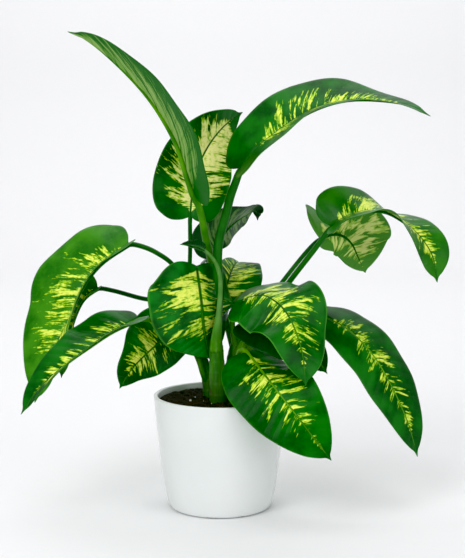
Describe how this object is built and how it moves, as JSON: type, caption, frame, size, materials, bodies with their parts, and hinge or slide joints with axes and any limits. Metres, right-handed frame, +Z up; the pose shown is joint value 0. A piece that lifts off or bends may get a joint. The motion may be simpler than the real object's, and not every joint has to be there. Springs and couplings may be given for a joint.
{
  "type": "potted plant",
  "caption": "Potted dieffenbachia: long arching stalks with broad green leaves splashed cream and yellow, growing from dark soil in a plain white tapered pot.",
  "frame": {"origin": "centre of the pot's flat underside", "axes": "+Z up along the pot's axis; the side that the picture shows faces -Y, and +X is to the right of it"},
  "size_m": [0.4765, 0.2536, 0.5303],
  "materials": {
    "glazed_pot": "glossy white glazed ceramic",
    "soil": "dry crumbly dark potting mix",
    "cane": "smooth green stem with ring scars",
    "leaf": "glossy green leaf with cream and yellow splashes"
  },
  "bodies": {
    "root": {"pot": "glazed_pot", "soil": "soil", "cane_front": "cane", "cane_left": "cane", "cane_right": "cane", "leaf_top_left": "leaf", "leaf_top_back": "leaf", "leaf_top_right": "leaf", "leaf_shaded_back": "leaf", "leaf_rolled": "leaf", "leaf_middle_front": "leaf", "leaf_middle_back": "leaf", "leaf_front_right": "leaf", "leaf_below_right": "leaf", "leaf_over_pot": "leaf", "leaf_right": "leaf", "leaf_far_right_upper": "leaf", "leaf_far_right_lower": "leaf", "leaf_far_left": "leaf", "leaf_lower_left": "leaf", "leaf_left_small": "leaf", "leaf_front_left": "leaf"}
  },
  "joints": []
}
